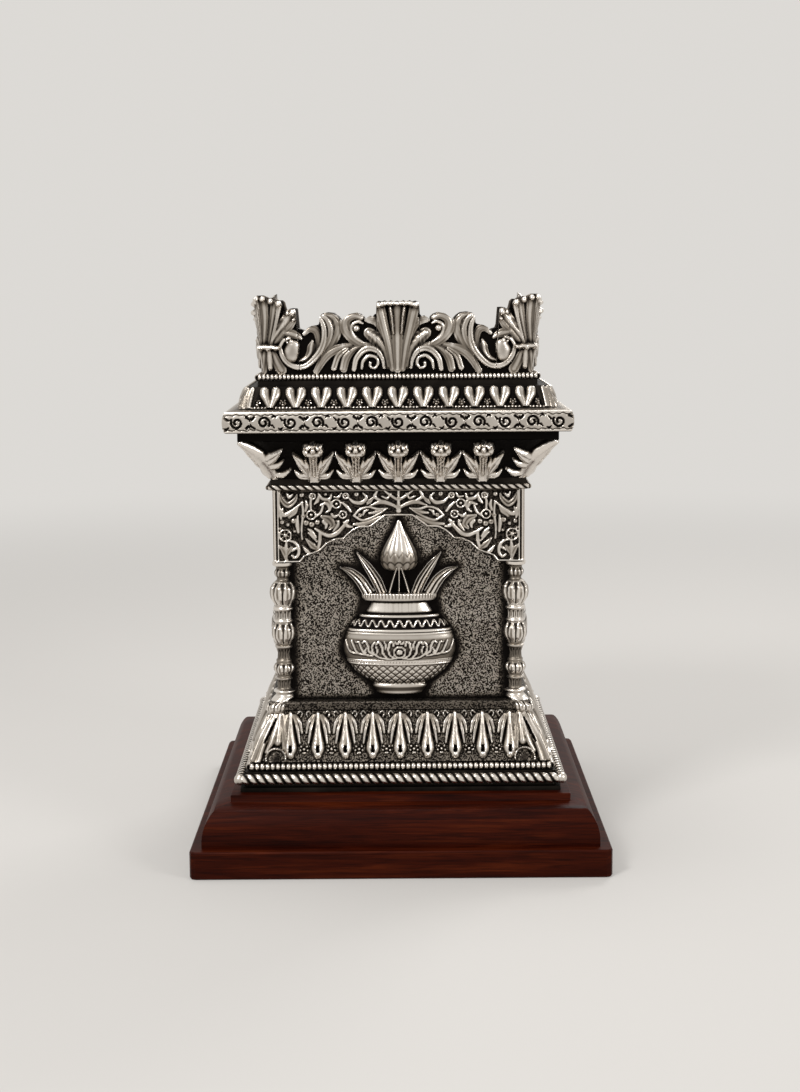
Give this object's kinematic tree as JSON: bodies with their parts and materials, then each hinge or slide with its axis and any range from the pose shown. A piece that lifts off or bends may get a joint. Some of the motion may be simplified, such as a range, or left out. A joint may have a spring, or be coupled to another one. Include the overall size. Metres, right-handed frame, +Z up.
{
  "type": "tulsi vrindavan planter",
  "caption": "Square table-top altar planter: an embossed silver tower with leafy cresting, a pot and leaf relief on each wall and a lift-out liner, on a moulded wooden stand.",
  "frame": {"origin": "middle of the wooden stand's underside", "axes": "+Z up; -Y is the front that the picture shows; +X is to the right of a viewer in front"},
  "size_m": [0.2, 0.2, 0.2732],
  "materials": {
    "stand_wood": "satin",
    "silver_sheet": "polished, darkened in the recesses",
    "fixing_steel": "satin",
    "liner_sheet": "matt"
  },
  "bodies": {
    "tower": {"base_slab": "stand_wood", "base_plinth": "stand_wood", "body_screws": "fixing_steel", "flange_nuts": "fixing_steel", "foot_frame": "silver_sheet", "foot_rope": "silver_sheet", "foot_beads": "silver_sheet", "skirt_front": "silver_sheet", "skirt_right": "silver_sheet", "skirt_back": "silver_sheet", "skirt_left": "silver_sheet", "skirt_leaves_front": "silver_sheet", "skirt_leaves_right": "silver_sheet", "skirt_leaves_back": "silver_sheet", "skirt_leaves_left": "silver_sheet", "skirt_corner_leaves": "silver_sheet", "sill": "silver_sheet", "wall_front": "silver_sheet", "wall_right": "silver_sheet", "wall_back": "silver_sheet", "wall_left": "silver_sheet", "arch_front": "silver_sheet", "arch_right": "silver_sheet", "arch_back": "silver_sheet", "arch_left": "silver_sheet", "kalash_front": "silver_sheet", "kalash_right": "silver_sheet", "kalash_back": "silver_sheet", "kalash_left": "silver_sheet", "column_front": "silver_sheet", "column_right": "silver_sheet", "column_back": "silver_sheet", "column_left": "silver_sheet", "neck_frame": "silver_sheet", "neck_rope": "silver_sheet", "cove_front": "silver_sheet", "cove_right": "silver_sheet", "cove_back": "silver_sheet", "cove_left": "silver_sheet", "lotus_sprays_front": "silver_sheet", "lotus_sprays_right": "silver_sheet", "lotus_sprays_back": "silver_sheet", "lotus_sprays_left": "silver_sheet", "cove_corner_leaves": "silver_sheet", "cornice": "silver_sheet", "heart_tier": "silver_sheet", "heart_leaves": "silver_sheet", "crest_beads": "silver_sheet", "crest_front": "silver_sheet", "crest_right": "silver_sheet", "crest_back": "silver_sheet", "crest_left": "silver_sheet", "rim_ledge": "silver_sheet"},
    "tub": {"liner": "liner_sheet"}
  },
  "joints": [
    {"name": "liner_lift", "type": "slide", "parent": "tower", "child": "tub", "axis": [0, 0, 1], "range_m": [0, 0.2]}
  ]
}
